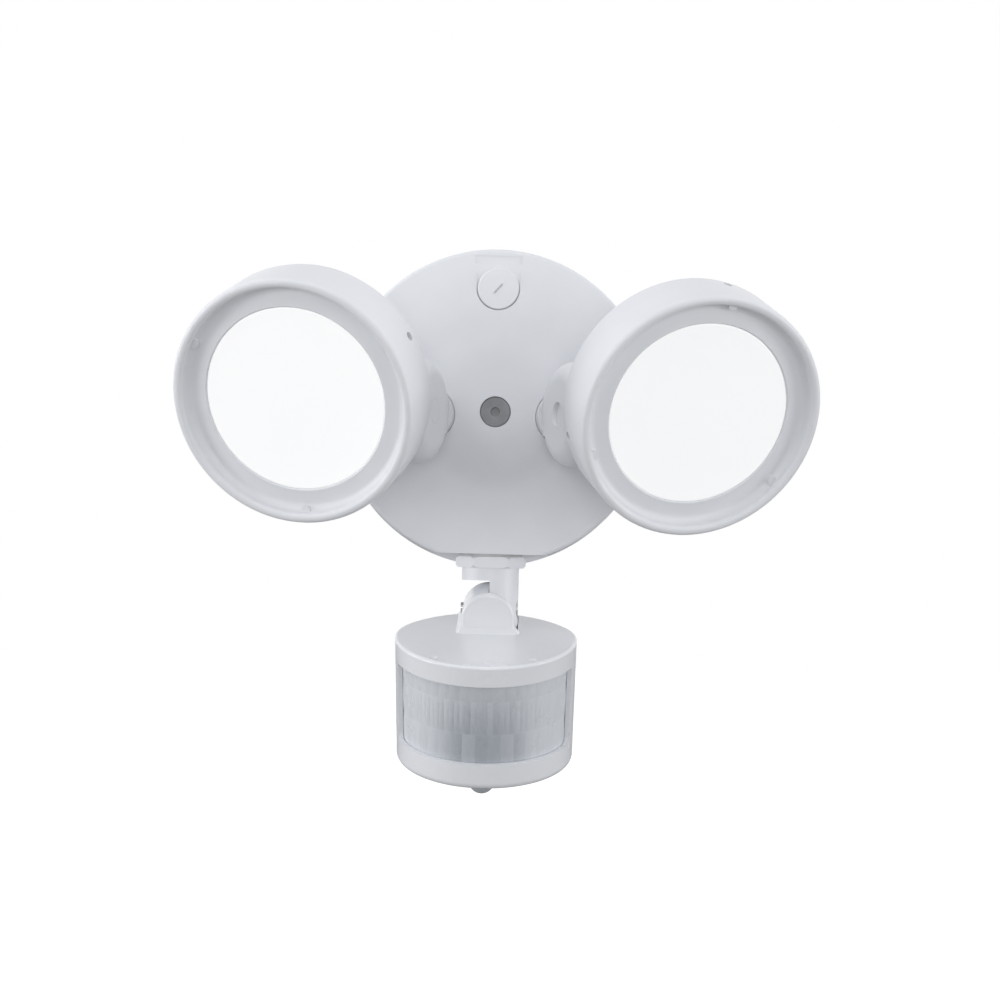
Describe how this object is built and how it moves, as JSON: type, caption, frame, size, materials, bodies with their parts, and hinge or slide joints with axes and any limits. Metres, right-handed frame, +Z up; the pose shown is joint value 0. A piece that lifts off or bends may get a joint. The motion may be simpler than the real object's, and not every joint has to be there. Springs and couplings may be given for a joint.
{
  "type": "motion sensor security light",
  "caption": "White outdoor wall light with adjustable round heads on a round canopy and a swivelling motion sensor hanging below it.",
  "frame": {"origin": "centre of the canopy's back, on the wall", "axes": "+Z up, +Y into the wall so the light looks towards -Y, +X to the right as seen from the front"},
  "size_m": [0.2821, 0.146, 0.2486],
  "materials": {
    "white_paint": "die-cast aluminium under white powder coat, satin, very fine texture",
    "white_plastic": "white moulded plastic, satin",
    "sensor_white": "white moulded plastic, soft gloss",
    "opal_lens": "opal white diffuser, smooth",
    "fresnel": "milky translucent film with fine grooves",
    "grey_rubber": "grey rubber, matt",
    "foam": "black closed-cell foam, matt",
    "seal_rubber": "pale grey rubber, matt",
    "zinc": "bright zinc plate",
    "screw_steel": "plain steel, satin",
    "ground_green": "green passivated screw",
    "driver_case": "black potted case",
    "reflector_white": "bright white reflector",
    "board_white": "white solder mask on aluminium",
    "led_yellow": "yellow phosphor",
    "board_green": "green circuit board",
    "pir_metal": "metal can",
    "photocell_grey": "pale smoked translucent dome",
    "dial_grey": "dark grey knob",
    "white_nut": "white moulded nut, satin"
  },
  "bodies": {
    "canopy": {"canopy_housing": "white_paint", "wall_gasket": "foam", "mounting_strap": "zinc", "ground_screw": "ground_green", "centre_screw": "screw_steel", "centre_plug": "grey_rubber", "access_plug": "white_plastic", "access_plug_seal": "seal_rubber", "led_driver": "driver_case", "driver_screws": "screw_steel", "stem_seal": "seal_rubber", "left_arm_seal": "seal_rubber", "right_arm_seal": "seal_rubber"},
    "left_arm": {"left_arm": "white_paint", "left_arm_nut": "zinc", "left_knuckle_screw": "screw_steel", "left_knuckle_washer": "foam", "left_knuckle_cap": "white_plastic"},
    "left_head": {"left_head_housing": "white_paint", "left_bezel": "white_paint", "left_bezel_screws": "screw_steel", "left_lens": "opal_lens", "left_lens_gasket": "foam", "left_reflector": "reflector_white", "left_led_board": "board_white", "left_led_chips": "led_yellow", "left_knuckle_nut": "zinc"},
    "right_arm": {"right_arm": "white_paint", "right_arm_nut": "zinc", "right_knuckle_screw": "screw_steel", "right_knuckle_washer": "foam", "right_knuckle_cap": "white_plastic"},
    "right_head": {"right_head_housing": "white_paint", "right_bezel": "white_paint", "right_bezel_screws": "screw_steel", "right_lens": "opal_lens", "right_lens_gasket": "foam", "right_reflector": "reflector_white", "right_led_board": "board_white", "right_led_chips": "led_yellow", "right_knuckle_nut": "zinc"},
    "stem": {"sensor_stem": "white_paint", "stem_locknut": "white_nut", "stem_inner_nut": "zinc", "pivot_screw": "screw_steel"},
    "sensor": {"sensor_rear": "sensor_white", "sensor_front": "sensor_white", "fresnel_lens": "fresnel", "sensor_board": "board_green", "pir_element": "pir_metal", "photocell": "photocell_grey", "sensor_screws": "screw_steel", "pivot_nut": "zinc"},
    "time_dial": {"time_dial": "dial_grey"},
    "range_dial": {"range_dial": "dial_grey"}
  },
  "joints": [
    {"name": "left_arm_turn", "type": "hinge", "parent": "canopy", "child": "left_arm", "pos_m": [-0.03833, -0.07605, -0.0045], "axis": [-0.3289, -0.9444, 0], "range_deg": [-30, 30]},
    {"name": "left_head_tilt", "type": "hinge", "parent": "left_arm", "child": "left_head", "pos_m": [-0.027, -0.08, -0.0045], "axis": [0.9444, -0.3289, 0], "range_deg": [-35, 43]},
    {"name": "right_arm_turn", "type": "hinge", "parent": "canopy", "child": "right_arm", "pos_m": [0.03833, -0.07605, -0.0045], "axis": [0.3289, -0.9444, 0], "range_deg": [-30, 30]},
    {"name": "right_head_tilt", "type": "hinge", "parent": "right_arm", "child": "right_head", "pos_m": [0.027, -0.08, -0.0045], "axis": [0.9444, 0.3289, 0], "range_deg": [-37, 41]},
    {"name": "sensor_swivel", "type": "hinge", "parent": "canopy", "child": "stem", "pos_m": [0, -0.029, -0.0925], "axis": [0, 0, 1], "range_deg": [-45, 45]},
    {"name": "sensor_tilt", "type": "hinge", "parent": "stem", "child": "sensor", "pos_m": [0, -0.029, -0.0925], "axis": [0.999, -0.0436, 0], "range_deg": [-17, 2]},
    {"name": "time_dial_turn", "type": "hinge", "parent": "sensor", "child": "time_dial", "pos_m": [-0.01384, -0.03197, -0.16243], "axis": [0.0135, 0.3087, -0.9511], "range_deg": [-135, 135]},
    {"name": "range_dial_turn", "type": "hinge", "parent": "sensor", "child": "range_dial", "pos_m": [0.01213, -0.0331, -0.16243], "axis": [0.0135, 0.3087, -0.9511], "range_deg": [-135, 135]}
  ]
}
